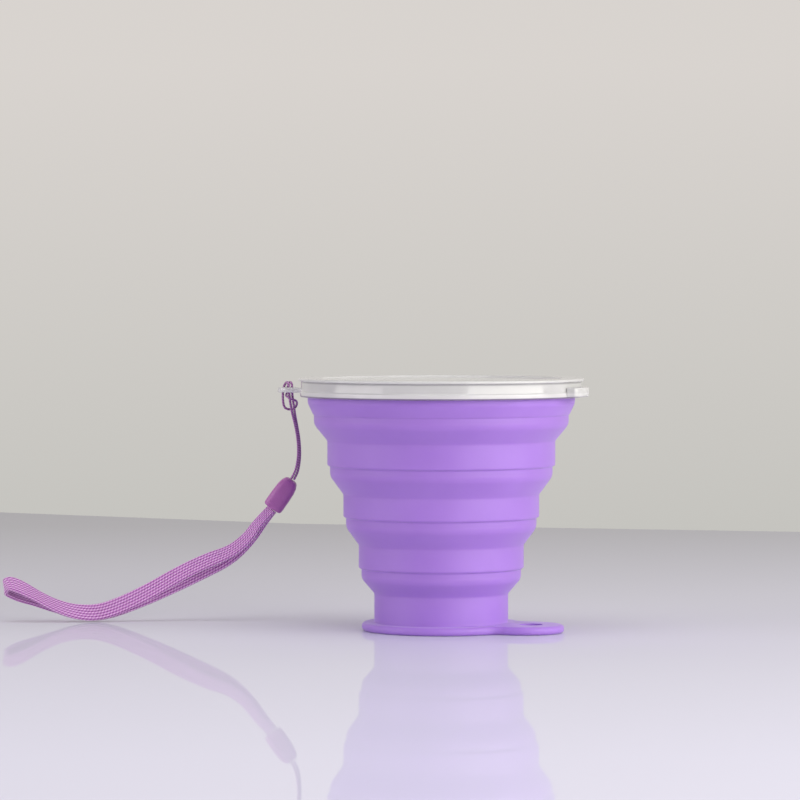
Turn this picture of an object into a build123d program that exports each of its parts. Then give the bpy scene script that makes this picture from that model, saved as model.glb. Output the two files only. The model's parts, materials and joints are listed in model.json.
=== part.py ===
from build123d import *
from math import cos, radians, sin, tan
import os

# Collapsible silicone travel cup with a snap lid and a wrist lanyard.
# Millimetres, +Z up. The origin is the centre of the base's resting face.

# Base and hanging tab
plate_radius = 25.0
plate_thickness = 2.6
plate_edge_round = 1.1
base_radius = 21.1
base_wall = 2.1
floor_top = 3.4
tab_angle = -21.0
tab_reach = 27.9
tab_radius = 12.3
tab_neck_round = 6.0
tab_hole_reach = 30.0
tab_hole_radius = 3.7

# Folding wall: three stiff bands and a rim, joined by thin pleats
band_wall = 1.9
pleat_wall = 1.3
bands = {
    # name: (outer radius, lowest z, highest z)
    "band_low": (26.0, 19.3, 27.0),
    "band_mid": (30.85, 35.4, 42.9),
    "band_high": (35.9, 51.6, 59.8),
}
band_step = 0.8
band_foot_height = 1.1
base_top = 11.7
pleat_bulge = 1.15

# Rim
rim_foot_radius = 40.1
rim_foot_z = 67.9
rim_radius = 42.3
rim_waist_z = 73.0
rim_bead_radius = 43.0
rim_bead_z = 75.8
rim_top = 78.1
rim_bore = 40.0
rim_bulge = 0.75

# Lid
lid_radius = 45.0
lid_foot_z = 73.6
lid_top = 79.5
lid_panel_top = 79.0
lid_panel_radius = 38.0
lid_panel_wall = 1.2
flange_thickness = 0.9
skirt_radius = 44.2
skirt_bead_radius = 44.5
skirt_bead_height = 1.9
skirt_bore = 43.2
channel_roof = 78.25
plug_radius = 39.7
plug_wall = 1.2
plug_foot_z = 72.4
ear_angle = tab_angle + 180.0
ear_reach = 51.4
ear_radius = 4.1
ear_hole_radius = 1.9
ear_neck_width = 6.0
ear_z = (74.5, 76.1)
thumb_reach = 48.0
thumb_width = 13.0
thumb_z = (74.0, 77.0)

# Lanyard
ferrule_top = (-48.0, 35.4, 45.6)
ferrule_bottom = (-54.4, 37.0, 36.5)
ferrule_width = 6.6
ferrule_neck_width = 4.4
ferrule_depth = 5.6
ferrule_round = 1.2
thread_diameter = 0.8
thread_route = [
    (-48.2, 35.4, 46.1),
    (-47.1, 34.8, 47.9),
    (-46.3, 33.4, 50.6),
    (-45.8, 31.2, 54.4),
    (-45.9, 28.5, 58.8),
    (-46.6, 25.1, 63.6),
    (-47.5, 22.5, 67.4),
    (-47.9, 21.0, 69.8),
    (-48.2, 19.8, 71.8),
    (-48.4, 18.9, 73.8),
    (-48.5, 18.7, 75.8),
    (-48.7, 19.4, 77.6),
    (-49.4, 21.6, 77.7),
    (-50.3, 23.0, 76.2),
    (-50.6, 23.0, 73.8),
    (-50.5, 22.6, 71.4),
    (-50.1, 22.2, 69.5),
    (-48.7, 22.6, 68.8),
    (-47.0, 22.9, 69.1),
    (-46.0, 21.7, 70.3),
    (-46.0, 19.8, 71.6),
    (-46.9, 18.3, 72.1),
    (-48.3, 18.0, 72.6),
    (-49.4, 19.0, 73.4),
    (-49.5, 21.2, 73.5),
    (-49.2, 23.0, 74.2),
    (-49.0, 23.4, 76.0),
    (-48.6, 22.2, 77.6),
    (-47.9, 20.2, 77.7),
    (-47.5, 18.8, 77.0),
    (-47.5, 18.5, 75.4),
    (-47.4, 18.9, 73.6),
    (-47.2, 19.8, 71.6),
    (-46.9, 21.0, 69.6),
    (-46.7, 23.0, 67.4),
    (-46.1, 26.1, 63.8),
    (-45.4, 29.5, 59.0),
    (-45.2, 32.3, 54.3),
    (-45.6, 34.3, 50.4),
    (-46.3, 35.4, 47.5),
    (-47.4, 35.4, 45.7),
]
strap_diameter = 2.4
strap_route = [
    (-54.7, 35.6, 36.0),
    (-58.8, 35.2, 32.0),
    (-62.2, 34.8, 26.8),
    (-67.6, 34.0, 22.4),
    (-75.0, 33.2, 19.8),
    (-84.0, 32.2, 15.6),
    (-94.0, 31.2, 9.8),
    (-103.5, 30.3, 5.3),
    (-111.0, 29.6, 2.9),
    (-118.5, 29.2, 3.4),
    (-125.0, 29.0, 5.7),
    (-130.6, 28.8, 8.8),
    (-135.4, 28.8, 11.4),
    (-138.7, 29.2, 12.6),
    (-140.5, 30.5, 11.6),
    (-140.0, 32.0, 10.0),
    (-136.2, 33.3, 8.3),
    (-130.4, 33.2, 6.8),
    (-123.8, 32.6, 4.7),
    (-116.6, 32.3, 2.9),
    (-108.6, 32.6, 2.9),
    (-99.0, 33.6, 6.2),
    (-88.6, 34.6, 10.6),
    (-77.6, 35.8, 15.8),
    (-68.4, 37.0, 20.4),
    (-61.6, 37.8, 26.4),
    (-57.4, 38.3, 32.2),
    (-54.5, 38.5, 35.9),
]


def at_angle(angle, reach):
    """The point at that angle about the cup's axis, and that far from it."""
    return (reach * cos(radians(angle)), reach * sin(radians(angle)))


def corner_radii(points):
    """As large an arc at each corner of a route as its two runs allow."""
    places = [Vector(*point) for point in points]
    runs = [b - a for a, b in zip(places, places[1:])]
    radii = []
    for before, after in zip(runs, runs[1:]):
        turn = before.get_angle(after)
        radii.append(0.45 * min(before.length, after.length) / tan(radians(turn) / 2))
    return radii


def flexible(label, route, diameter):
    """A round tube along a route of straight runs and tangent arcs."""
    radii = corner_radii(route)
    with BuildPart() as tube:
        with BuildLine() as path:
            FilletPolyline(*route, radius=radii)
        wire = path.wire()
        with BuildSketch(Plane(origin=wire @ 0, z_dir=wire % 0)):
            Circle(diameter / 2)
        sweep(path=wire)
    length = wire.length
    swept = length * Circle(diameter / 2).area
    print(label, "length", round(length, 1), "smallest radius", round(min(radii), 2))
    print(label, "radii", [round(radius, 1) for radius in radii])
    print(label, "volume over section times length", round(tube.part.volume / swept, 4))
    return tube.part


def pleat(label, inner_radius, low_z, outer_radius, high_z):
    """A thin wall that bulges outwards as it climbs from one band to the next."""
    wall = pleat_wall
    middle_radius = (inner_radius + outer_radius) / 2 + pleat_bulge
    middle_z = (low_z + high_z) / 2 - pleat_bulge / 2
    with BuildPart() as ring:
        with BuildSketch(Plane.XZ):
            with BuildLine():
                ThreePointArc((inner_radius, low_z), (middle_radius, middle_z), (outer_radius, high_z))
                Line((outer_radius, high_z), (outer_radius - wall, high_z))
                ThreePointArc(
                    (outer_radius - wall, high_z),
                    (middle_radius - wall, middle_z + wall / 4),
                    (inner_radius - wall, low_z),
                )
                Line((inner_radius - wall, low_z), (inner_radius, low_z))
            make_face()
        revolve(axis=Axis.Z)
    ring.part.label = label
    return ring.part


os.makedirs("parts", exist_ok=True)

# Base: the cup's floor, its lowest wall, and the foot plate with the hanging tab
with BuildPart() as cup_base:
    with BuildSketch():
        Circle(plate_radius)
        with Locations(at_angle(tab_angle, tab_reach)):
            Circle(tab_radius)
        waists = [v for v in vertices() if abs(Vector(v.X, v.Y).length - plate_radius) < 0.01]
        concave = [v for v in waists if v.X > base_radius / 2]
        fillet(concave, radius=tab_neck_round)
    extrude(amount=plate_thickness)
    fillet(edges().group_by(Axis.Z)[-1], radius=plate_edge_round)
    with BuildSketch():
        Circle(base_radius)
    extrude(amount=base_top)
    with BuildSketch(Plane.XY.offset(floor_top)):
        Circle(base_radius - base_wall)
    extrude(amount=base_top, mode=Mode.SUBTRACT)
    with Locations((*at_angle(tab_angle, tab_hole_reach), plate_thickness)):
        Hole(tab_hole_radius)
cup_base.part.label = "cup_base"
export_step(cup_base.part, "parts/cup_base.step")

# Stiff bands, each stepped in at its foot where the pleat below meets it
for band_name, (band_radius, band_low_z, band_high_z) in bands.items():
    with BuildPart() as band:
        with BuildSketch(Plane.XZ):
            with BuildLine():
                Polyline(
                    (band_radius - band_wall, band_low_z),
                    (band_radius - band_step, band_low_z),
                    (band_radius, band_low_z + band_foot_height),
                    (band_radius, band_high_z),
                    (band_radius - band_wall, band_high_z),
                    close=True,
                )
            make_face()
        revolve(axis=Axis.Z)
    band.part.label = band_name
    export_step(band.part, f"parts/{band_name}.step")

# Pleats: each one starts at the top of the ring below and ends under the foot of the ring above
rings = [(base_radius, base_top), *[(radius, high) for radius, low, high in bands.values()]]
feet = [(radius - band_step, low) for radius, low, high in bands.values()]
feet.append((rim_foot_radius, rim_foot_z))
for number, ((inner, low_z), (outer, high_z)) in enumerate(zip(rings, feet), start=1):
    pleat_name = f"pleat_{number}"
    export_step(pleat(pleat_name, inner, low_z, outer, high_z), f"parts/{pleat_name}.step")

# Rim: a flared collar with a bead that the lid snaps over
with BuildPart() as rim:
    with BuildSketch(Plane.XZ):
        with BuildLine():
            ThreePointArc(
                (rim_foot_radius, rim_foot_z),
                ((rim_foot_radius + rim_radius) / 2 + rim_bulge, (rim_foot_z + rim_waist_z) / 2),
                (rim_radius, rim_waist_z),
            )
            Polyline(
                (rim_radius, rim_waist_z),
                (rim_radius, rim_bead_z),
                (rim_bead_radius, rim_bead_z),
                (rim_bead_radius, rim_top),
                (rim_bore, rim_top),
                (rim_bore, rim_waist_z),
            )
            ThreePointArc(
                (rim_bore, rim_waist_z),
                ((rim_foot_radius + rim_bore - band_wall) / 2 + rim_bulge / 2, (rim_foot_z + rim_waist_z) / 2),
                (rim_foot_radius - band_wall, rim_foot_z),
            )
            Line((rim_foot_radius - band_wall, rim_foot_z), (rim_foot_radius, rim_foot_z))
        make_face()
    revolve(axis=Axis.Z)
rim.part.label = "cup_rim"
export_step(rim.part, "parts/cup_rim.step")

# Lid: skirt, channel for the rim, plug ring and recessed panel, with the lanyard ear and a thumb tab
with BuildPart() as lid:
    with BuildSketch(Plane.XZ):
        with BuildLine():
            Polyline(
                (0, lid_panel_top),
                (lid_panel_radius - 0.3, lid_panel_top),
                (lid_panel_radius, lid_top),
                (lid_radius - 0.3, lid_top),
                (lid_radius, lid_top - 0.3),
                (lid_radius, lid_top - flange_thickness),
                (skirt_radius, lid_top - flange_thickness),
                (skirt_radius, lid_foot_z + skirt_bead_height),
                (skirt_bead_radius, lid_foot_z + skirt_bead_height - 0.3),
                (skirt_bead_radius, lid_foot_z),
                (skirt_bore, lid_foot_z),
                (skirt_bore, channel_roof),
                (plug_radius, channel_roof),
                (plug_radius, plug_foot_z),
                (plug_radius - plug_wall, plug_foot_z),
                (plug_radius - plug_wall, lid_panel_top - lid_panel_wall),
                (0, lid_panel_top - lid_panel_wall),
                close=True,
            )
        make_face()
    revolve(axis=Axis.Z)
    with BuildSketch(Plane.XY.offset(ear_z[0])):
        with Locations(at_angle(ear_angle, ear_reach)):
            Circle(ear_radius)
        with Locations(Location((*at_angle(ear_angle, (ear_reach + lid_radius) / 2 - 0.6), 0), ear_angle)):
            Rectangle(ear_reach - lid_radius + 1.2, ear_neck_width)
        with Locations(at_angle(ear_angle, ear_reach)):
            Circle(ear_hole_radius, mode=Mode.SUBTRACT)
    extrude(amount=ear_z[1] - ear_z[0])
    with BuildSketch(Plane.XY.offset(thumb_z[0])):
        with Locations(Location((*at_angle(tab_angle, (thumb_reach + skirt_radius) / 2), 0), tab_angle)):
            RectangleRounded(thumb_reach - skirt_radius, thumb_width, 1.6)
    extrude(amount=thumb_z[1] - thumb_z[0])
lid.part.label = "lid"
export_step(lid.part, "parts/lid.step")

# Ferrule: a tapered plastic clamp that holds the thread's ends and the strap's ends
ferrule_start = Vector(*ferrule_top)
ferrule_run = Vector(*ferrule_bottom) - ferrule_start
depth_way = Vector(0, 1, 0)
with BuildPart() as ferrule:
    with BuildSketch(Plane(origin=ferrule_start, x_dir=depth_way, z_dir=ferrule_run)):
        RectangleRounded(ferrule_depth * 0.8, ferrule_neck_width, ferrule_round)
    with BuildSketch(Plane(origin=ferrule_start + ferrule_run * 0.25, x_dir=depth_way, z_dir=ferrule_run)):
        RectangleRounded(ferrule_depth, ferrule_width, ferrule_round)
    with BuildSketch(Plane(origin=ferrule_start + ferrule_run, x_dir=depth_way, z_dir=ferrule_run)):
        RectangleRounded(ferrule_depth, ferrule_width, ferrule_round)
    loft(ruled=True)
ferrule.part.label = "lanyard_ferrule"
export_step(ferrule.part, "parts/lanyard_ferrule.step")

thread = flexible("lanyard_thread", thread_route, thread_diameter)
thread.label = "lanyard_thread"
export_step(thread, "parts/lanyard_thread.step")

strap = flexible("lanyard_strap", strap_route, strap_diameter)
strap.label = "lanyard_strap"
export_step(strap, "parts/lanyard_strap.step")
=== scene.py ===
import json
import math

import bmesh
import bpy
import numpy as np
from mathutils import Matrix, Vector


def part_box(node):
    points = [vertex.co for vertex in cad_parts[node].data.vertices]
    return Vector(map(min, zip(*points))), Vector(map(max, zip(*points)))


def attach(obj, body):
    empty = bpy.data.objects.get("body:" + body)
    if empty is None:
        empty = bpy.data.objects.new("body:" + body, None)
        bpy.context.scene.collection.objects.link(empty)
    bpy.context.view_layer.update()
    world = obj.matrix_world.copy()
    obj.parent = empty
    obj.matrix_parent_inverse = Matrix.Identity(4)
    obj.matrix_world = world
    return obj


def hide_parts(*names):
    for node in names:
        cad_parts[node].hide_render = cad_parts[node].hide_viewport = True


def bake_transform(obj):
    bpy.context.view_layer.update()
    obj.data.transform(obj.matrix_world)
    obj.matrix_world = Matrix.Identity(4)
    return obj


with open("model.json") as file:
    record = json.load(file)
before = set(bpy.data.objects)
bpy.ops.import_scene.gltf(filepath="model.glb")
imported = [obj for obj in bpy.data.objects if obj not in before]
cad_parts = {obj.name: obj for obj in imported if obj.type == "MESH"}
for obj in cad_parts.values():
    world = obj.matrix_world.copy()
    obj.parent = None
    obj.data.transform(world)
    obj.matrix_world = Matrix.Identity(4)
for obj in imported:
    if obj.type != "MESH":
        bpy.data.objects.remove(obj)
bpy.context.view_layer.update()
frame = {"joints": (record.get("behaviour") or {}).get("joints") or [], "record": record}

MM = 0.001
AROUND = 224  # segments round the cup's axis
HARD_EDGE = math.radians(38)  # edges that turn more than this stay sharp
CUTTER_EDGE = 0.0001 * MM  # a cutter's own edges are left all but sharp

# Camera
CAMERA_PLACE = Vector((-13, -1300, 110)) * MM
CAMERA_TILT = math.radians(1.65)
CAMERA_LENS = 185.8
CAMERA_SENSOR = 36.0

# Cup: the bands and the rim's outer edge are measured in the frame. The rest is stated here
BASE_RADIUS = 21.1 * MM
FLOOR_TOP = 3.4 * MM
PLATE_THICKNESS = 2.6 * MM
PLATE_RADIUS = 25.0 * MM
PLATE_EDGE_ROUND = 1.15 * MM
PLATE_BITE = 0.6 * MM  # how far up inside the plate the wall's own mesh starts
FOOT_FILLET = 0.9 * MM
TAB_RADIUS = 12.3 * MM
TAB_REACH = 27.9 * MM
TAB_NECK_ROUND = 6.0 * MM
BAND_STEP = 0.85 * MM
BAND_WALL = 1.9 * MM
RIM_RADIUS = 42.3 * MM
RIM_WALL = 2.3 * MM
PLEAT_CURVE_DROP = 3.0 * MM
PLEAT_ROUND = 4.2 * MM
CORNER_ROUND = 1.3 * MM  # where a band's top turns out into the pleat above it
CREASE_ROUND = 0.22 * MM
STEP_RISE = 0.55 * MM
STEP_ROUND = 0.5 * MM
SEAM_BELOW_CORNER = 0.9 * MM
SEAM_BELOW_STEP = 0.55 * MM

# Lid
LID_RADIUS = 45.0 * MM
LID_FLANGE = 0.9 * MM
LID_PANEL_RADIUS = 38.0 * MM
LID_PANEL_DROP = 0.5 * MM
LID_PANEL_WALL = 1.2 * MM
SKIRT_FOOT = 73.6 * MM
SKIRT_RADIUS = 44.2 * MM
SKIRT_BEAD_RADIUS = 44.5 * MM
SKIRT_BEAD_HEIGHT = 2.0 * MM
SKIRT_BORE = 43.2 * MM
SKIRT_ROOT = 44.0 * MM  # the ear and the thumb tab start this far out, inside the skirt's wall
CHANNEL_ROOF_DROP = 1.25 * MM
PLUG_RADIUS = 39.7 * MM
PLUG_WALL = 1.2 * MM
EAR_REACH = 51.4 * MM
EAR_RADIUS = 4.1 * MM
EAR_HOLE_RADIUS = 1.9 * MM
EAR_FOOT, EAR_TOP = 74.5 * MM, 76.1 * MM
EAR_NECK_REACH, EAR_NECK_HALF_WIDTH = 45.6 * MM, 3.2 * MM
EAR_ROOT_HALF_WIDTH = 4.2 * MM
THUMB_HALF_WIDTH = 6.5 * MM
THUMB_ROOT_HALF_WIDTH = 6.9 * MM
THUMB_START, THUMB_LENGTH = 45.2 * MM, 2.8 * MM
THUMB_FOOT, THUMB_TOP = 74.0 * MM, 77.0 * MM
PAINTED_SHADE_TOP = 79.0 * MM  # the lid's painted shade runs from its foot to this height

# Lanyard
THREAD_DIAMETER = 0.8 * MM
THREAD_LAY = 1.9 * MM  # length of one full twist of its two plies
STRAP_WIDTH = 5.3 * MM
STRAP_PINCH = 0.68  # how much of its width it keeps where it is gathered into the ferrule
STRAP_GATHER = 24 * MM
STRAP_THICKNESS = 1.3 * MM
STITCH = 1.07 * MM  # length of one stitch along the strap
STITCH_ROWS = 14  # rows of stitches all the way round the strap
STITCH_RELIEF = 0.16 * MM
FERRULE_TOP = Vector((-48.0, 35.4, 45.6)) * MM
FERRULE_SQUARENESS = 0.62  # 1 gives an oval section, less gives a squarer one

THREAD_ROUTE = [
    (-48.2, 35.4, 46.1),
    (-47.1, 34.8, 47.9),
    (-46.3, 33.4, 50.6),
    (-45.8, 31.2, 54.4),
    (-45.9, 28.5, 58.8),
    (-46.6, 25.1, 63.6),
    (-47.5, 22.5, 67.4),
    (-47.9, 21.0, 69.8),
    (-48.2, 19.8, 71.8),
    (-48.4, 18.9, 73.8),
    (-48.5, 18.7, 75.8),
    (-48.7, 19.4, 77.6),
    (-49.4, 21.6, 77.7),
    (-50.3, 23.0, 76.2),
    (-50.6, 23.0, 73.8),
    (-50.5, 22.6, 71.4),
    (-50.1, 22.2, 69.5),
    (-48.7, 22.6, 68.8),
    (-47.0, 22.9, 69.1),
    (-46.0, 21.7, 70.3),
    (-46.0, 19.8, 71.6),
    (-46.9, 18.3, 72.1),
    (-48.3, 18.0, 72.6),
    (-49.4, 19.0, 73.4),
    (-49.5, 21.2, 73.5),
    (-49.2, 23.0, 74.2),
    (-49.0, 23.4, 76.0),
    (-48.6, 22.2, 77.6),
    (-47.9, 20.2, 77.7),
    (-47.5, 18.8, 77.0),
    (-47.5, 18.5, 75.4),
    (-47.4, 18.9, 73.6),
    (-47.2, 19.8, 71.6),
    (-46.9, 21.0, 69.6),
    (-46.7, 23.0, 67.4),
    (-46.1, 26.1, 63.8),
    (-45.4, 29.5, 59.0),
    (-45.2, 32.3, 54.3),
    (-45.6, 34.3, 50.4),
    (-46.3, 35.4, 47.5),
    (-47.4, 35.4, 45.7),
]
STRAP_ROUTE = [
    (-54.7, 35.6, 36.0),
    (-58.8, 35.2, 32.0),
    (-62.2, 34.8, 26.8),
    (-67.6, 34.0, 22.4),
    (-75.0, 33.2, 19.8),
    (-84.0, 32.2, 15.6),
    (-94.0, 31.2, 9.8),
    (-103.5, 30.3, 5.3),
    (-111.0, 29.6, 2.9),
    (-118.5, 29.2, 3.4),
    (-125.0, 29.0, 5.7),
    (-130.6, 28.8, 8.8),
    (-135.4, 28.8, 11.4),
    (-138.7, 29.2, 12.6),
    (-140.5, 30.5, 11.6),
    (-140.0, 32.0, 10.0),
    (-136.2, 33.3, 8.3),
    (-130.4, 33.2, 6.8),
    (-123.8, 32.6, 4.7),
    (-116.6, 32.3, 2.9),
    (-108.6, 32.6, 2.9),
    (-99.0, 33.6, 6.2),
    (-88.6, 34.6, 10.6),
    (-77.6, 35.8, 15.8),
    (-68.4, 37.0, 20.4),
    (-61.6, 37.8, 26.4),
    (-57.4, 38.3, 32.2),
    (-54.5, 38.5, 35.9),
]

# How far the strap's face leans back at each point of its route, in degrees
STRAP_LEAN = [
    *(35, 42, 42, 45, 32, 25, 15, 5, 5, 35, 52, 58, 48, 45),
    *(0, -45, -50, -52, -50, -35, -5, -5, -10, -15, -20, -35, -40, -35),
]

joints = {joint["name"]: joint for joint in frame["joints"]}
ear_point = Vector(joints["lanyard_swing"]["pos_m"])
strap_point = Vector(joints["strap_swing"]["pos_m"])


# ---------------------------------------------------------------- mesh helpers


def mesh_object(name, vertices, faces):
    """A linked mesh object, with outward normals, shaded smooth but for its hard edges."""
    mesh = bpy.data.meshes.new(name)
    mesh.from_pydata([tuple(v) for v in vertices], [], faces)
    mesh.validate()
    shell = bmesh.new()
    shell.from_mesh(mesh)
    bmesh.ops.recalc_face_normals(shell, faces=shell.faces)
    shell.to_mesh(mesh)
    shell.free()
    mesh.shade_smooth()
    mesh.set_sharp_from_angle(angle=HARD_EDGE)
    piece = bpy.data.objects.new(name, mesh)
    bpy.context.scene.collection.objects.link(piece)
    return piece


def rounded(corners, step=0.22 * MM):
    """A finely sampled line in (radius, height) through corners of (radius, height, rounding)."""
    path = []
    last = len(corners) - 1
    for index, corner in enumerate(corners):
        here = Vector(corner[:2])
        if index in (0, last) or corner[2] <= 0:
            path.append(here)
            continue
        back = Vector(corners[index - 1][:2]) - here
        ahead = Vector(corners[index + 1][:2]) - here
        turn = math.pi - back.angle(ahead)
        reach = min(corner[2] * math.tan(turn / 2), 0.48 * back.length, 0.48 * ahead.length)
        radius = reach / math.tan(turn / 2)
        start = here + back.normalized() * reach
        end = here + ahead.normalized() * reach
        centre = here + (back.normalized() + ahead.normalized()).normalized() * math.hypot(reach, radius)
        parts = max(4, int(radius * turn / step) + 1)
        first = math.atan2(start.y - centre.y, start.x - centre.x)
        sweep = math.atan2(end.y - centre.y, end.x - centre.x) - first
        sweep = (sweep + math.pi) % (2 * math.pi) - math.pi
        for part in range(parts + 1):
            angle = first + sweep * part / parts
            path.append(centre + Vector((math.cos(angle), math.sin(angle))) * radius)
    fine = [path[0]]
    for point in path[1:]:
        run = point - fine[-1]
        if run.length < 1e-7:
            continue
        parts = max(1, int(run.length / (3 * step)))
        start = fine[-1]
        fine += [start + run * (part + 1) / parts for part in range(parts)]
    return fine


def revolved(name, section, around=AROUND):
    """The closed section, in (radius, height), turned round the Z axis. A point on the axis is one vertex."""
    vertices, rows = [], []
    for radius, height in section:
        if radius < 1e-6:
            rows.append([len(vertices)])
            vertices.append((0, 0, height))
            continue
        rows.append(range(len(vertices), len(vertices) + around))
        for k in range(around):
            angle = 2 * math.pi * k / around
            vertices.append((radius * math.cos(angle), radius * math.sin(angle), height))
    faces = []
    for low, high in zip(rows, [*rows[1:], rows[0]]):
        if len(low) == 1 and len(high) == 1:
            continue
        for k in range(around):
            after = (k + 1) % around
            if len(low) == 1:
                faces.append((low[0], high[after], high[k]))
            elif len(high) == 1:
                faces.append((low[k], low[after], high[0]))
            else:
                faces.append((low[k], low[after], high[after], high[k]))
    return mesh_object(name, vertices, faces)


def joined(piece, others, operation="UNION"):
    """The piece after an exact boolean with each of the others, which are then removed."""
    for other in others:
        modifier = piece.modifiers.new("cut", "BOOLEAN")
        modifier.operation = operation
        modifier.solver = "EXACT"
        modifier.object = other
        bpy.context.view_layer.objects.active = piece
        with bpy.context.temp_override(object=piece, active_object=piece):
            bpy.ops.object.modifier_apply(modifier=modifier.name)
        bpy.data.objects.remove(other)
    piece.data.shade_smooth()
    piece.data.set_sharp_from_angle(angle=HARD_EDGE)
    return piece


def slab(name, outline, low, high, rounding, steps=6):
    """A flat plate with that outline, going round anticlockwise, and rounded upper and lower edges."""
    count = len(outline)
    points = [Vector(point) for point in outline]
    normals = []
    for k in range(count):
        along = (points[(k + 1) % count] - points[k - 1]).normalized()
        normals.append(Vector((along.y, -along.x)))
    levels = []
    for part in range(steps + 1):
        angle = math.pi / 2 * part / steps
        levels.append((rounding * (1 - math.sin(angle)), low + rounding * (1 - math.cos(angle))))
    levels += [(inset, low + high - height) for inset, height in reversed(levels)]
    vertices = []
    for inset, height in levels:
        for point, normal in zip(points, normals):
            spot = point - normal * inset
            vertices.append((spot.x, spot.y, height))
    faces = [tuple(reversed(range(count)))]
    for row in range(len(levels) - 1):
        for k in range(count):
            after = (k + 1) % count
            a, b = row * count, (row + 1) * count
            faces.append((a + k, a + after, b + after, b + k))
    faces.append(tuple(range((len(levels) - 1) * count, len(levels) * count)))
    return mesh_object(name, vertices, faces)


def circle(centre, radius, count=64):
    """Points round a circle, anticlockwise."""
    return [
        (
            centre[0] + radius * math.cos(2 * math.pi * k / count),
            centre[1] + radius * math.sin(2 * math.pi * k / count),
        )
        for k in range(count)
    ]


# ---------------------------------------------------------------- materials


def material(name):
    """A new node material, its tree and its Principled shader."""
    made = bpy.data.materials.new(name)
    made.use_nodes = True
    tree = made.node_tree
    return made, tree, tree.nodes["Principled BSDF"]


def node(tree, kind, **inputs):
    """A node of that kind, with named inputs set and named properties set where it has no such input."""
    made = tree.nodes.new(kind)
    for key, value in inputs.items():
        if key in made.inputs:
            made.inputs[key].default_value = value
        else:
            setattr(made, key, value)
    return made


def bumped(tree, shader, height_socket, strength, distance):
    """Feeds the height to the shader's normal through a bump node."""
    bump = node(tree, "ShaderNodeBump", Strength=strength, Distance=distance)
    tree.links.new(height_socket, bump.inputs["Height"])
    tree.links.new(bump.outputs["Normal"], shader.inputs["Normal"])


def silicone_material():
    """Soft matt silicone: a fine moulded grain, faint mottling and a dusting that shows as a pale sheen."""
    made, tree, shader = material("silicone_purple")
    place = node(tree, "ShaderNodeTexCoord")
    mottle = node(tree, "ShaderNodeTexNoise", Scale=46.0, Detail=4.0, Roughness=0.55)
    grain = node(tree, "ShaderNodeTexNoise", Scale=2600.0, Detail=2.0, Roughness=0.6)
    tree.links.new(place.outputs["Object"], mottle.inputs["Vector"])
    tree.links.new(place.outputs["Object"], grain.inputs["Vector"])
    colours = node(tree, "ShaderNodeValToRGB")
    colours.color_ramp.elements[0].position = 0.30
    colours.color_ramp.elements[0].color = (0.335, 0.170, 0.620, 1)
    colours.color_ramp.elements[1].position = 0.72
    colours.color_ramp.elements[1].color = (0.365, 0.190, 0.660, 1)
    tree.links.new(mottle.outputs["Fac"], colours.inputs["Fac"])
    tree.links.new(colours.outputs["Color"], shader.inputs["Base Color"])
    dull = node(tree, "ShaderNodeMapRange")
    dull.inputs["To Min"].default_value = 0.42
    dull.inputs["To Max"].default_value = 0.52
    tree.links.new(mottle.outputs["Fac"], dull.inputs["Value"])
    tree.links.new(dull.outputs["Result"], shader.inputs["Roughness"])
    shader.inputs["Subsurface Weight"].default_value = 0.12
    shader.inputs["Subsurface Radius"].default_value = (0.004, 0.0025, 0.006)
    shader.inputs["Subsurface Scale"].default_value = 1.0
    shader.inputs["Sheen Weight"].default_value = 0.20
    shader.inputs["Sheen Roughness"].default_value = 0.5
    shader.inputs["Sheen Tint"].default_value = (0.93, 0.86, 1.0, 1)
    shader.inputs["IOR"].default_value = 1.41
    bumped(tree, shader, grain.outputs["Fac"], 0.10, 0.00008)
    return made


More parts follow.
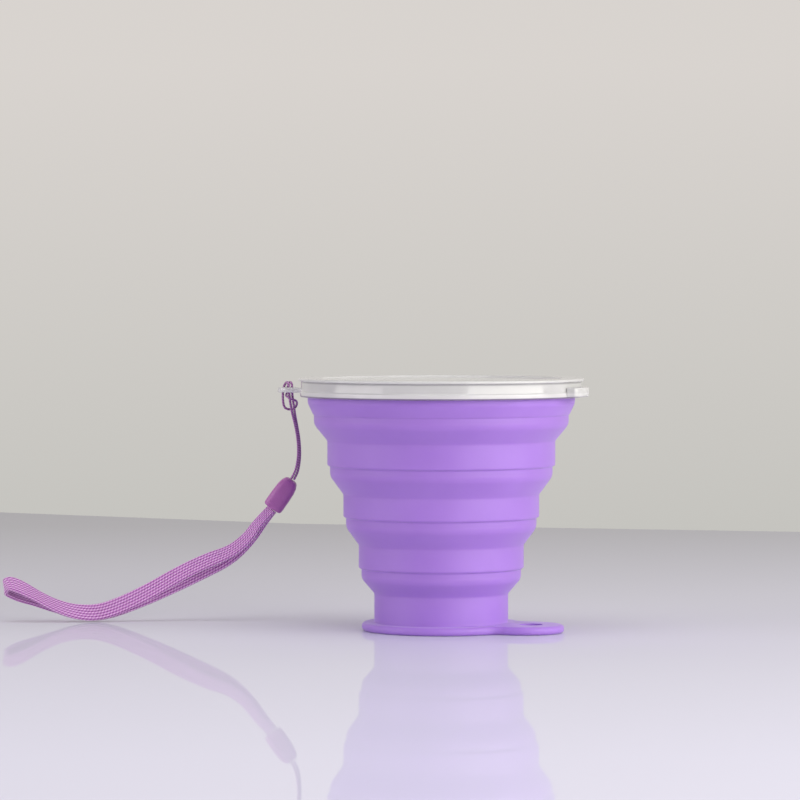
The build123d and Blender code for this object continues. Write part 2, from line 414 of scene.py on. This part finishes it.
def lid_material():
    """Milky clear polypropylene with faint flow marks, and painted shade that darkens it under its flange and
    along its foot.
    """
    made, tree, shader = material("lid_clear_plastic")
    place = node(tree, "ShaderNodeTexCoord")
    flow = node(tree, "ShaderNodeTexNoise", Scale=60.0, Detail=3.0, Roughness=0.5, Distortion=0.6)
    tree.links.new(place.outputs["Object"], flow.inputs["Vector"])
    colours = node(tree, "ShaderNodeValToRGB")
    colours.color_ramp.elements[0].color = (0.80, 0.79, 0.80, 1)
    colours.color_ramp.elements[1].color = (0.93, 0.92, 0.93, 1)
    tree.links.new(flow.outputs["Fac"], colours.inputs["Fac"])
    split = node(tree, "ShaderNodeSeparateXYZ")
    tree.links.new(place.outputs["Object"], split.inputs["Vector"])
    level = node(tree, "ShaderNodeMapRange")
    level.inputs["From Min"].default_value = SKIRT_FOOT
    level.inputs["From Max"].default_value = PAINTED_SHADE_TOP
    tree.links.new(split.outputs["Z"], level.inputs["Value"])
    # painted shade by height: a dark purplish band along the foot for the shadow in the gap over the cup's
    # rim, a dark band for the shadow under the flange, and the skirt a little darker between them
    painted_shade_ramp = node(tree, "ShaderNodeValToRGB")
    painted_shade_ramp.color_ramp.elements[0].position = 0.07
    painted_shade_ramp.color_ramp.elements[0].color = (0.36, 0.28, 0.44, 1)
    painted_shade_ramp.color_ramp.elements[1].position = 0.94
    painted_shade_ramp.color_ramp.elements[1].color = (1.00, 1.00, 1.00, 1)
    for stop, tone in ((0.11, 1.0), (0.27, 1.0), (0.33, 0.90), (0.80, 0.93), (0.845, 0.62), (0.915, 0.62)):
        painted_shade_ramp.color_ramp.elements.new(stop).color = (tone, tone, tone, 1)
    tree.links.new(level.outputs["Result"], painted_shade_ramp.inputs["Fac"])
    shaded = node(tree, "ShaderNodeMix", data_type="RGBA", blend_type="MULTIPLY")
    shaded.inputs["Factor"].default_value = 1.0
    tree.links.new(colours.outputs["Color"], shaded.inputs["A"])
    tree.links.new(painted_shade_ramp.outputs["Color"], shaded.inputs["B"])
    tree.links.new(shaded.outputs["Result"], shader.inputs["Base Color"])
    dull = node(tree, "ShaderNodeMapRange")
    dull.inputs["To Min"].default_value = 0.07
    dull.inputs["To Max"].default_value = 0.13
    tree.links.new(flow.outputs["Fac"], dull.inputs["Value"])
    tree.links.new(dull.outputs["Result"], shader.inputs["Roughness"])
    shader.inputs["Transmission Weight"].default_value = 0.35
    shader.inputs["IOR"].default_value = 1.49
    bumped(tree, shader, flow.outputs["Fac"], 0.03, 0.0003)
    return made


def ferrule_material():
    """Soft moulded plastic with a fine grain."""
    made, tree, shader = material("ferrule_plastic_purple")
    place = node(tree, "ShaderNodeTexCoord")
    grain = node(tree, "ShaderNodeTexNoise", Scale=1500.0, Detail=3.0, Roughness=0.6)
    tree.links.new(place.outputs["Object"], grain.inputs["Vector"])
    colours = node(tree, "ShaderNodeValToRGB")
    colours.color_ramp.elements[0].color = (0.370, 0.108, 0.362, 1)
    colours.color_ramp.elements[1].color = (0.440, 0.140, 0.430, 1)
    tree.links.new(grain.outputs["Fac"], colours.inputs["Fac"])
    tree.links.new(colours.outputs["Color"], shader.inputs["Base Color"])
    shader.inputs["Roughness"].default_value = 0.42
    bumped(tree, shader, grain.outputs["Fac"], 0.15, 0.0001)
    return made


def yarn_material(name, dark, mid, light, roughness):
    """Woven yarn: its colour follows the mesh's relief attribute, with painted shade in the gaps and painted
    highlights on the crowns, and a filament streak.
    """
    made, tree, shader = material(name)
    relief = node(tree, "ShaderNodeAttribute", attribute_name="relief")
    place = node(tree, "ShaderNodeTexCoord")
    fibre = node(tree, "ShaderNodeTexNoise", Scale=5200.0, Detail=2.0, Roughness=0.6)
    tree.links.new(place.outputs["Object"], fibre.inputs["Vector"])
    # painted shade and highlight: dark in the gaps between stitches, bright on their crowns
    colours = node(tree, "ShaderNodeValToRGB")
    ramp = colours.color_ramp
    ramp.elements[0].position = 0.12
    ramp.elements[0].color = dark
    ramp.elements[1].position = 0.95
    ramp.elements[1].color = light
    middle = ramp.elements.new(0.55)
    middle.color = mid
    tree.links.new(relief.outputs["Fac"], colours.inputs["Fac"])
    streak = node(tree, "ShaderNodeMix", data_type="RGBA", blend_type="MULTIPLY")
    streak.inputs["Factor"].default_value = 0.22
    tree.links.new(colours.outputs["Color"], streak.inputs["A"])
    tree.links.new(fibre.outputs["Color"], streak.inputs["B"])
    tree.links.new(streak.outputs["Result"], shader.inputs["Base Color"])
    shader.inputs["Roughness"].default_value = roughness
    shader.inputs["Sheen Weight"].default_value = 0.35
    shader.inputs["Sheen Roughness"].default_value = 0.4
    bumped(tree, shader, fibre.outputs["Fac"], 0.4, 0.00006)
    return made


# ---------------------------------------------------------------- camera and lanyard routes

camera = bpy.data.objects.new("camera", bpy.data.cameras.new("camera"))
bpy.context.scene.collection.objects.link(camera)
camera.location = CAMERA_PLACE
camera.rotation_euler = (math.pi / 2 - CAMERA_TILT, 0, 0)
camera.data.lens = CAMERA_LENS
camera.data.sensor_width = CAMERA_SENSOR
camera.data.clip_start = 0.05
camera.data.clip_end = 30
bpy.context.scene.camera = camera
bpy.context.scene.view_settings.view_transform = "Standard"


def route_line(route):
    """Points along the smooth NURBS line that has the route's points as its control points."""
    curve = bpy.data.curves.new("route", "CURVE")
    curve.dimensions = "3D"
    curve.resolution_u = 24
    spline = curve.splines.new("NURBS")
    spline.points.add(len(route) - 1)
    for point, place in zip(spline.points, route):
        point.co = (*(Vector(place) * MM), 1)
    spline.order_u = 3
    spline.use_endpoint_u = True
    holder = bpy.data.objects.new("route", curve)
    bpy.context.scene.collection.objects.link(holder)
    bpy.context.view_layer.update()
    line = bpy.data.meshes.new_from_object(holder)
    points = np.array([v.co for v in line.vertices])
    bpy.data.objects.remove(holder)
    bpy.data.meshes.remove(line)
    return points


def evenly(points, step):
    """The same line with its points evenly spaced, about that far apart."""
    runs = np.linalg.norm(np.diff(points, axis=0), axis=1)
    along = np.concatenate([[0], np.cumsum(runs)])
    stations = np.linspace(0, along[-1], int(along[-1] / step) + 1)
    return np.stack([np.interp(stations, along, points[:, k]) for k in range(3)], axis=1), stations


def unit(vectors):
    """Each row scaled to length one."""
    return vectors / np.maximum(np.linalg.norm(vectors, axis=1, keepdims=True), 1e-12)


def swept(name, centres, side, up, shape):
    """A closed tube along the centres. The shape is its offsets along side and up, and its relief."""
    offsets_side, offsets_up, relief = shape
    rows, around = offsets_side.shape
    places = (
        centres[:, None, :]
        + side[:, None, :] * offsets_side[:, :, None]
        + up[:, None, :] * offsets_up[:, :, None]
    ).reshape(-1, 3)
    index = np.arange(rows * around).reshape(rows, around)
    after = np.roll(index, -1, axis=1)
    quads = np.stack([index[:-1], after[:-1], after[1:], index[1:]], axis=-1).reshape(-1, 4)
    faces = [tuple(face) for face in quads.tolist()]
    faces.append(tuple(reversed(index[0].tolist())))
    faces.append(tuple(index[-1].tolist()))
    piece = mesh_object(name, places.tolist(), faces)
    layer = piece.data.attributes.new("relief", "FLOAT", "POINT")
    layer.data.foreach_set("value", relief.reshape(-1).astype(np.float32))
    return piece


def carried_frame(centres):
    """A side and an up vector carried along the line without twist."""
    tangents = unit(np.gradient(centres, axis=0))
    side = np.zeros_like(centres)
    start = np.cross(tangents[0], (0, 1, 0))
    side[0] = start / np.linalg.norm(start)
    for k in range(1, len(centres)):
        carried = side[k - 1] - tangents[k] * np.dot(side[k - 1], tangents[k])
        side[k] = carried / np.linalg.norm(carried)
    return side, np.cross(tangents, side)


def thread_piece():
    """A twisted two-ply thread, hitched round the lid's ear, with both ends held in the ferrule."""
    step = 0.1 * MM
    centres, along = evenly(route_line(THREAD_ROUTE), step)
    side, up = carried_frame(centres)
    angles = np.linspace(0, 2 * math.pi, 20, endpoint=False)
    twist = angles[None, :] + 2 * math.pi * along[:, None] / THREAD_LAY
    crown = np.abs(np.cos(twist)) ** 0.7
    radius = THREAD_DIAMETER / 2 * (0.84 + 0.16 * crown)
    shape = (radius * np.cos(angles), radius * np.sin(angles), crown)
    return swept("thread", centres, side, up, shape), centres


def strap_section(around):
    """Even points round a flat bar with round edges: across, through, and their outward directions."""
    edge = STRAP_THICKNESS / 2
    flat = STRAP_WIDTH - STRAP_THICKNESS
    perimeter = 2 * flat + 2 * math.pi * edge
    place = (np.arange(around) + 0.5) / around * perimeter
    across, through, out_across, out_through = (np.zeros(around) for _ in range(4))
    for k, here in enumerate(place):
        if here < flat:
            across[k], through[k], out_through[k] = here - flat / 2, edge, 1
        elif here < flat + math.pi * edge:
            angle = math.pi / 2 - (here - flat) / edge
            out_across[k], out_through[k] = math.cos(angle), math.sin(angle)
            across[k], through[k] = flat / 2 + edge * out_across[k], edge * out_through[k]
        elif here < 2 * flat + math.pi * edge:
            across[k], through[k] = flat / 2 - (here - flat - math.pi * edge), -edge
            out_through[k] = -1
        else:
            angle = -math.pi / 2 - (here - 2 * flat - math.pi * edge) / edge
            out_across[k], out_through[k] = math.cos(angle), math.sin(angle)
            across[k], through[k] = -flat / 2 + edge * out_across[k], edge * out_through[k]
    return across, through, out_across, out_through, place / perimeter


def strap_piece():
    """A flat tubular braid doubled into a loop, its width upright but for the lean given along its route."""
    step = 0.18 * MM
    centres, along = evenly(route_line(STRAP_ROUTE), step)
    tangents = unit(np.gradient(centres, axis=0))
    upright = np.array([0.0, 0.0, 1.0])
    rise = unit(upright - tangents * (tangents @ upright)[:, None])
    face = np.cross(tangents, rise)
    runs = np.linalg.norm(np.diff(np.array(STRAP_ROUTE), axis=0), axis=1)
    stations = np.concatenate([[0], np.cumsum(runs)]) / runs.sum()
    lean = np.radians(np.interp(along / along[-1], stations, STRAP_LEAN))
    smooth = np.hanning(2 * int(2.0 * MM / step) + 1)
    lean = np.convolve(np.pad(lean, len(smooth) // 2, mode="edge"), smooth / smooth.sum(), mode="valid")
    width = rise * np.cos(lean)[:, None] + face * np.sin(lean)[:, None]
    face = np.cross(tangents, width)

    across, through, out_across, out_through, turn = strap_section(88)
    row = turn * STITCH_ROWS
    seam = np.round(row)  # the line between two rows that each point is nearest to
    off_seam = 2 * np.abs(row - seam)
    beat = along[:, None] / STITCH + (0.5 * (seam % 2) + 0.45 * (row - seam))[None, :]
    gap = ((1 - off_seam) ** 0.9)[None, :] * (0.4 + 0.6 * np.abs(np.cos(math.pi * beat)))
    dip = (off_seam**2)[None, :] * np.abs(np.sin(math.pi * beat)) ** 6
    crown = 1 - gap - 0.75 * dip
    lift = STITCH_RELIEF * (crown - 0.6)
    from_end = np.clip(np.minimum(along, along[-1] - along) / STRAP_GATHER, 0, 1)
    spread = STRAP_PINCH + (1 - STRAP_PINCH) * from_end**2 * (3 - 2 * from_end)
    shape = (across * spread[:, None] + lift * out_across, through + lift * out_through, crown)
    return swept("strap", centres, width, face, shape), centres


thread, thread_line = thread_piece()
strap, strap_line = strap_piece()


# ---------------------------------------------------------------- cup

base_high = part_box("cup_base")[1]
levels = []  # radius, foot and top of each band, from the lowest up
for band_name in ("band_low", "band_mid", "band_high"):
    low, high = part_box(band_name)
    levels.append((high.x, low.z, high.z))
rim_low, rim_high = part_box("cup_rim")
pleat_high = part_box("pleat_4")[1]
rim_foot_radius = pleat_high.x


def wall_lines():
    """The whole wall's outer and inner lines, from the floor to the top of the rim.

    Each corner is its radius, its height and how far it is rounded.
    """
    below = [(BASE_RADIUS, base_high.z)] + [(radius, top) for radius, _, top in levels]
    above = [(radius, foot) for radius, foot, _ in levels]
    above.append((rim_foot_radius + BAND_STEP, pleat_high.z))
    outer = [(BASE_RADIUS, FLOOR_TOP, 0)]
    inner = [(BASE_RADIUS - BAND_WALL, FLOOR_TOP, 0)]
    for (low_radius, corner_z), (high_radius, foot_z) in zip(below, above):
        neck = high_radius - BAND_STEP
        outer.append((low_radius, corner_z, CORNER_ROUND))
        outer.append((neck, foot_z - PLEAT_CURVE_DROP, PLEAT_ROUND))
        outer.append((neck, foot_z, CREASE_ROUND))
        if high_radius < rim_foot_radius:
            outer.append((high_radius, foot_z + STEP_RISE, STEP_ROUND))
        inner.append((low_radius - BAND_WALL, corner_z + 0.5 * MM, 1.0 * MM))
        inner.append((high_radius - BAND_WALL, foot_z - 2.5 * MM, 3.2 * MM))
    ledge = pleat_high.z + 0.35 * MM
    outer.append((rim_foot_radius + 0.35 * MM, ledge, 0.3 * MM))
    outer.append((RIM_RADIUS - 0.3 * MM, pleat_high.z + 3.6 * MM, 3.4 * MM))
    outer.append((RIM_RADIUS, rim_low.z + 7.9 * MM, 0.25 * MM))
    outer.append((rim_high.x, rim_low.z + 8.3 * MM, 0.3 * MM))
    outer.append((rim_high.x, rim_high.z, 0.7 * MM))
    outer.append((rim_high.x - 1.5 * MM, rim_high.z, 0))
    inner.append((RIM_RADIUS - RIM_WALL, rim_low.z + 4.6 * MM, 3.0 * MM))
    inner.append((RIM_RADIUS - RIM_WALL, rim_high.z, 0.8 * MM))
    inner.append((RIM_RADIUS - RIM_WALL + 1.0 * MM, rim_high.z, 0))
    return rounded(outer), rounded(inner)


def cut_between(path, low, high):
    """The stretch of a path between two heights, with its ends exactly on them."""
    kept = []
    for a, b in zip(path, path[1:]):
        for level in (low, high):
            if level is not None and (a.y - level) * (b.y - level) < 0:
                kept.append(a.lerp(b, (level - a.y) / (b.y - a.y)))
        inside = (low is None or b.y >= low) and (high is None or b.y <= high)
        if inside:
            kept.append(b)
    return kept


outer_wall, inner_wall = wall_lines()
feet = [foot for _, foot, _ in levels] + [pleat_high.z]
tops = [base_high.z] + [top for _, _, top in levels]
pleat_starts = [top - SEAM_BELOW_CORNER for top in tops]
pleat_ends = [foot - SEAM_BELOW_STEP for foot in feet]


def wall_piece(name, low, high):
    """The wall between two heights, as one closed ring."""
    outside = cut_between(outer_wall, low, high)
    inside = cut_between(inner_wall, low, high)
    return revolved(name, [tuple(p) for p in outside + inside[::-1]])


silicone = silicone_material()
BODIES = ("base", "low_band", "middle_band", "high_band", "rim")
BAND_NODES = ("band_low", "band_mid", "band_high")


def cup_base_piece():
    """Foot plate, hanging tab, floor and lowest wall in one moulding."""
    hole = next(m for m in frame["record"]["mounts"] if m["name"] == "hang_hole")
    hole_place = Vector(hole["pos_m"][:2])
    hole_radius = hole["dims"]["r_mm"] * MM
    tab_centre = hole_place.normalized() * TAB_REACH
    outline = union_outline(PLATE_RADIUS, tab_centre, TAB_RADIUS, TAB_NECK_ROUND)
    plate = slab("cup_foot", outline, 0.0, PLATE_THICKNESS, PLATE_EDGE_ROUND)
    wall_section = [
        (0, PLATE_BITE),
        (BASE_RADIUS - 2 * MM, PLATE_BITE),
        (BASE_RADIUS + FOOT_FILLET, PLATE_BITE),
        *[tuple(p) for p in rounded([
            (BASE_RADIUS + FOOT_FILLET, PLATE_THICKNESS - 0.1 * MM, 0),
            (BASE_RADIUS, PLATE_THICKNESS - 0.02 * MM, 0.8 * MM),
            (BASE_RADIUS, FLOOR_TOP + 1 * MM, 0),
        ])],
        *[tuple(p) for p in cut_between(outer_wall, FLOOR_TOP + 1 * MM, pleat_starts[0])],
        *[tuple(p) for p in cut_between(inner_wall, FLOOR_TOP + 3 * MM, pleat_starts[0])[::-1]],
        *[tuple(p) for p in rounded([
            (BASE_RADIUS - BAND_WALL, FLOOR_TOP + 3 * MM, 0),
            (BASE_RADIUS - BAND_WALL, FLOOR_TOP, 2.0 * MM),
            (0, FLOOR_TOP, 0),
        ])],
    ]
    wall = revolved("base_wall", wall_section)
    bore_outline = circle(hole_place, hole_radius, 72)
    bore = slab("bore", bore_outline, -1 * MM, PLATE_THICKNESS + 1 * MM, CUTTER_EDGE, 1)
    return joined(joined(plate, [wall]), [bore], "DIFFERENCE")


def union_outline(plate_radius, tab_centre, tab_radius, neck):
    """The outline of a round plate and a round tab with filleted necks, anticlockwise, in arcs."""
    reach = tab_centre.length
    heading = math.atan2(tab_centre.y, tab_centre.x)
    # the neck's circle touches both: its centre is that far from each centre
    from_plate = plate_radius + neck
    from_tab = tab_radius + neck
    swing = math.acos((from_plate**2 + reach**2 - from_tab**2) / (2 * from_plate * reach))
    outline = []

    def arc(centre, radius, first, last):
        parts = max(8, int(abs(last - first) * radius / (0.5 * MM)))
        for part in range(parts):
            angle = first + (last - first) * part / parts
            outline.append((centre.x + radius * math.cos(angle), centre.y + radius * math.sin(angle)))

    upper = Vector((math.cos(heading + swing), math.sin(heading + swing))) * from_plate
    lower = Vector((math.cos(heading - swing), math.sin(heading - swing))) * from_plate
    origin = Vector((0, 0))

    def way(a, b):
        return math.atan2(b.y - a.y, b.x - a.x)

    # plate, all the way round the back from the upper neck to the lower one
    arc(origin, plate_radius, heading + swing, heading - swing + 2 * math.pi)
    # lower neck, turning the other way
    first = way(lower, origin)
    last = way(lower, tab_centre)
    turn = (last - first + math.pi) % (2 * math.pi) - math.pi
    arc(lower, neck, first, first + turn)
    # tab
    first = way(tab_centre, lower)
    last = way(tab_centre, upper)
    turn = (last - first) % (2 * math.pi)
    arc(tab_centre, tab_radius, first, first + turn)
    # upper neck
    first = way(upper, tab_centre)
    last = way(upper, origin)
    turn = (last - first + math.pi) % (2 * math.pi) - math.pi
    arc(upper, neck, first, first + turn)
    return outline


def dressed(piece, skin):
    """The piece in that material and finish slot."""
    piece.data.materials.clear()
    piece.data.materials.append(skin)
    return piece


foot = dressed(cup_base_piece(), silicone)
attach(foot, "base")
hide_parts("cup_base")

for number, (low, high) in enumerate(zip(pleat_starts, pleat_ends)):
    fold = dressed(wall_piece(f"folding_pleat_{number + 1}", low, high), silicone)
    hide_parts(f"pleat_{number + 1}")
    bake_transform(fold)

for number, node_name in enumerate(BAND_NODES):
    ring = wall_piece(f"stiff_{node_name}", pleat_ends[number], pleat_starts[number + 1])
    dressed(ring, silicone)
    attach(ring, BODIES[number + 1])
    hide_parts(node_name)

rim = dressed(wall_piece("rolled_rim", pleat_ends[-1], None), silicone)
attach(rim, "rim")
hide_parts("cup_rim")


# ---------------------------------------------------------------- lid


def lid_piece():
    """Skirt, rim channel, plug ring and recessed panel, with the ear and the thumb tab."""
    low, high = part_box("lid")
    top = high.z
    section = rounded([
        (0, top - LID_PANEL_DROP, 0),
        (LID_PANEL_RADIUS - 0.3 * MM, top - LID_PANEL_DROP, 0.3 * MM),
        (LID_PANEL_RADIUS + 0.1 * MM, top, 0.3 * MM),
        (LID_RADIUS, top, 0.42 * MM),
        (LID_RADIUS, top - LID_FLANGE, 0.42 * MM),
        (SKIRT_RADIUS, top - LID_FLANGE - 0.05 * MM, 0.25 * MM),
        (SKIRT_RADIUS, SKIRT_FOOT + SKIRT_BEAD_HEIGHT, 0.4 * MM),
        (SKIRT_BEAD_RADIUS, SKIRT_FOOT + SKIRT_BEAD_HEIGHT - 0.4 * MM, 0.4 * MM),
        (SKIRT_BEAD_RADIUS, SKIRT_FOOT, 0.5 * MM),
        (SKIRT_BORE, SKIRT_FOOT, 0.3 * MM),
        (SKIRT_BORE, top - CHANNEL_ROOF_DROP, 0.4 * MM),
        (PLUG_RADIUS, top - CHANNEL_ROOF_DROP, 0.4 * MM),
        (PLUG_RADIUS, low.z, 0.4 * MM),
        (PLUG_RADIUS - PLUG_WALL, low.z, 0.4 * MM),
        (PLUG_RADIUS - PLUG_WALL, top - LID_PANEL_DROP - LID_PANEL_WALL, 0.4 * MM),
        (0, top - LID_PANEL_DROP - LID_PANEL_WALL, 0),
    ])
    cap = revolved("snap_lid", [tuple(p) for p in section])
    way = Vector(ear_point.xy).normalized()
    across = Vector((-way.y, way.x))
    ear_centre = way * EAR_REACH
    outline = []
    for k in range(49):
        angle = math.pi * (k / 48 - 0.5)
        outline.append(ear_centre + EAR_RADIUS * (way * math.cos(angle) + across * math.sin(angle)))
    neck, neck_side = way * EAR_NECK_REACH, across * EAR_NECK_HALF_WIDTH
    root, root_side = way * SKIRT_ROOT, across * EAR_ROOT_HALF_WIDTH
    outline += [neck + neck_side, root + root_side, root - root_side, neck - neck_side]
    ear = slab("ear", [tuple(p) for p in outline], EAR_FOOT, EAR_TOP, 0.35 * MM, 3)
    hole_outline = circle(ear_centre, EAR_HOLE_RADIUS, 40)
    hole = slab("hole", hole_outline, EAR_FOOT - 2.5 * MM, EAR_TOP + 2.9 * MM, CUTTER_EDGE, 1)
    ear = joined(ear, [hole], "DIFFERENCE")
    way, across = -way, -across
    thumb = []
    for k in range(25):
        angle = math.pi * (k / 24 - 0.5)
        lobe = Vector((math.cos(angle), math.sin(angle)))
        thumb.append(way * (THUMB_START + THUMB_LENGTH * lobe.x**0.6) + across * THUMB_HALF_WIDTH * lobe.y)
    root, root_side = way * SKIRT_ROOT, across * THUMB_ROOT_HALF_WIDTH
    thumb += [root + root_side, root - root_side]
    tab = slab("tab", [tuple(p) for p in thumb], THUMB_FOOT, THUMB_TOP, 0.6 * MM, 3)
    return joined(cap, [ear, tab])


lid = dressed(lid_piece(), lid_material())
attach(lid, "lid")
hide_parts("lid")


# ---------------------------------------------------------------- lanyard


def ferrule_piece():
    """A tapered clamp with rounded ends, between the thread and the strap."""
    run = strap_point - FERRULE_TOP
    along = run.normalized()
    depth = Vector((0, 1, 0)) - along * along.y
    depth.normalize()
    across = along.cross(depth)
    profile = [
        # share of the length, half width, half depth, in millimetres
        (0.00, 1.3, 1.1),
        (0.02, 1.9, 1.7),
        (0.07, 2.35, 2.1),
        (0.16, 2.8, 2.45),
        (0.30, 3.12, 2.65),
        (0.55, 3.25, 2.75),
        (0.85, 3.28, 2.78),
        (0.95, 3.22, 2.72),
        (0.985, 3.0, 2.55),
        (1.00, 2.5, 2.1),
    ]
    around = 64
    vertices, faces = [], []
    for share, half_width, half_depth in profile:
        centre = FERRULE_TOP + run * share
        for k in range(around):
            angle = 2 * math.pi * k / around
            c, s = math.cos(angle), math.sin(angle)
            x = math.copysign(abs(c) ** FERRULE_SQUARENESS, c) * half_width * MM
            y = math.copysign(abs(s) ** FERRULE_SQUARENESS, s) * half_depth * MM
            vertices.append(centre + across * x + depth * y)
    for row in range(len(profile) - 1):
        for k in range(around):
            after = (k + 1) % around
            a, b = row * around, (row + 1) * around
            faces.append((a + k, a + after, b + after, b + k))
    faces.append(tuple(reversed(range(around))))
    faces.append(tuple(range((len(profile) - 1) * around, len(profile) * around)))
    return mesh_object("ferrule", vertices, faces)


ferrule = dressed(ferrule_piece(), ferrule_material())
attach(ferrule, "lanyard")
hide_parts("lanyard_ferrule")

# each yarn: painted shade in the gaps, its own mid tone, painted highlight on the crowns
dressed(
    thread,
    yarn_material(
        "thread_yarn",
        (0.090, 0.020, 0.100, 1),
        (0.300, 0.095, 0.320, 1),
        (0.520, 0.230, 0.540, 1),
        0.5,
    ),
)
dressed(
    strap,
    yarn_material(
        "strap_yarn",
        (0.150, 0.025, 0.180, 1),
        (0.620, 0.235, 0.650, 1),
        (1.000, 0.800, 0.980, 1),
        0.42,
    ),
)
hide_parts("lanyard_thread")
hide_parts("lanyard_strap")
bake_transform(thread)
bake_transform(strap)


# ---------------------------------------------------------------- stage and light


def plane(name, corners):
    """A flat stage panel with those corners."""
    mesh = bpy.data.meshes.new(name)
    mesh.from_pydata(corners, [], [tuple(range(len(corners)))])
    panel = bpy.data.objects.new(name, mesh)
    bpy.context.scene.collection.objects.link(panel)
    return panel


def table_material():
    """Pale polished table top: a matt body with a soft mirror, the body painted lighter and bluer at the
    front and darker and greyer towards the back as painted light.
    """
    made, tree, shader = material("stage_table")
    output = tree.nodes["Material Output"]
    tree.nodes.remove(shader)
    place = node(tree, "ShaderNodeTexCoord")
    split = node(tree, "ShaderNodeSeparateXYZ")
    tree.links.new(place.outputs["Object"], split.inputs["Vector"])
    painted_light_falloff = node(tree, "ShaderNodeMapRange")
    painted_light_falloff.inputs["From Min"].default_value = -0.35
    painted_light_falloff.inputs["From Max"].default_value = 0.55
    tree.links.new(split.outputs["Y"], painted_light_falloff.inputs["Value"])
    # painted light: the body colour falls from light lavender at the front to darker grey at the back
    ramp = node(tree, "ShaderNodeValToRGB")
    ramp.color_ramp.elements[0].color = (0.80, 0.785, 0.955, 1)
    ramp.color_ramp.elements[1].color = (0.58, 0.57, 0.62, 1)
    tree.links.new(painted_light_falloff.outputs["Result"], ramp.inputs["Fac"])
    body = node(tree, "ShaderNodeBsdfDiffuse")
    tree.links.new(ramp.outputs["Color"], body.inputs["Color"])
    gloss = node(tree, "ShaderNodeBsdfGlossy", Roughness=0.01)
    mix = node(tree, "ShaderNodeMixShader")
    mix.inputs[0].default_value = 0.30
    tree.links.new(body.outputs["BSDF"], mix.inputs[1])
    tree.links.new(gloss.outputs["BSDF"], mix.inputs[2])
    tree.links.new(mix.outputs["Shader"], output.inputs["Surface"])
    return made


def wall_material():
    """A plain studio wall that glows softly, lighter towards the top."""
    made, tree, shader = material("stage_wall")
    output = tree.nodes["Material Output"]
    tree.nodes.remove(shader)
    place = node(tree, "ShaderNodeTexCoord")
    split = node(tree, "ShaderNodeSeparateXYZ")
    tree.links.new(place.outputs["Object"], split.inputs["Vector"])
    height = node(tree, "ShaderNodeMapRange")
    height.inputs["From Min"].default_value = -0.10
    height.inputs["From Max"].default_value = 0.26
    tree.links.new(split.outputs["Z"], height.inputs["Value"])
    ramp = node(tree, "ShaderNodeValToRGB")
    ramp.color_ramp.elements[0].color = (0.545, 0.540, 0.510, 1)
    ramp.color_ramp.elements[1].color = (0.690, 0.655, 0.625, 1)
    tree.links.new(height.outputs["Result"], ramp.inputs["Fac"])
    glow = node(tree, "ShaderNodeEmission", Strength=1.0)
    tree.links.new(ramp.outputs["Color"], glow.inputs["Color"])
    tree.links.new(glow.outputs["Emission"], output.inputs["Surface"])
    return made


far_edge = [(3, 0.40), (0.50, 0.40), (0.16, 0.51), (-0.06, 0.57), (-0.20, 0.66), (-0.80, 1.03), (-3, 1.03)]
table = plane("stage_table", [(-3, -3, 0), (3, -3, 0), *((x, y, 0) for x, y in far_edge)])
table.data.materials.append(table_material())
wall = plane("stage_wall", [(-4, 1.6, -2), (4, 1.6, -2), (4, 1.6, 3), (-4, 1.6, 3)])
wall.data.materials.append(wall_material())


def softbox(name, azimuth, distance, height, width, tall, power, colour):
    """A rectangular area light aimed at the cup. Azimuth 0 is at the camera, 90 on the right."""
    light = bpy.data.lights.new(name, "AREA")
    light.shape = "RECTANGLE"
    light.size = width
    light.size_y = tall
    light.energy = power
    light.color = colour
    holder = bpy.data.objects.new(name, light)
    bpy.context.scene.collection.objects.link(holder)
    angle = math.radians(azimuth)
    holder.location = (distance * math.sin(angle), -distance * math.cos(angle), height)
    aim = Vector((0, 0, 0.05)) - holder.location
    holder.rotation_euler = aim.to_track_quat("-Z", "Y").to_euler()


softbox("key_right", 55, 1.0, 0.31, 1.45, 0.58, 13.0, (1.0, 0.99, 0.90))
softbox("fill_left", -72, 1.1, 0.30, 1.0, 0.56, 5.6, (1.0, 0.965, 0.93))
softbox("top", 5, 0.25, 1.3, 1.2, 0.9, 5.2, (1.0, 1.0, 1.0))

world = bpy.data.worlds.new("studio")
bpy.context.scene.world = world
world.use_nodes = True
world.node_tree.nodes["Background"].inputs["Color"].default_value = (0.80, 0.80, 0.83, 1)
world.node_tree.nodes["Background"].inputs["Strength"].default_value = 0.30
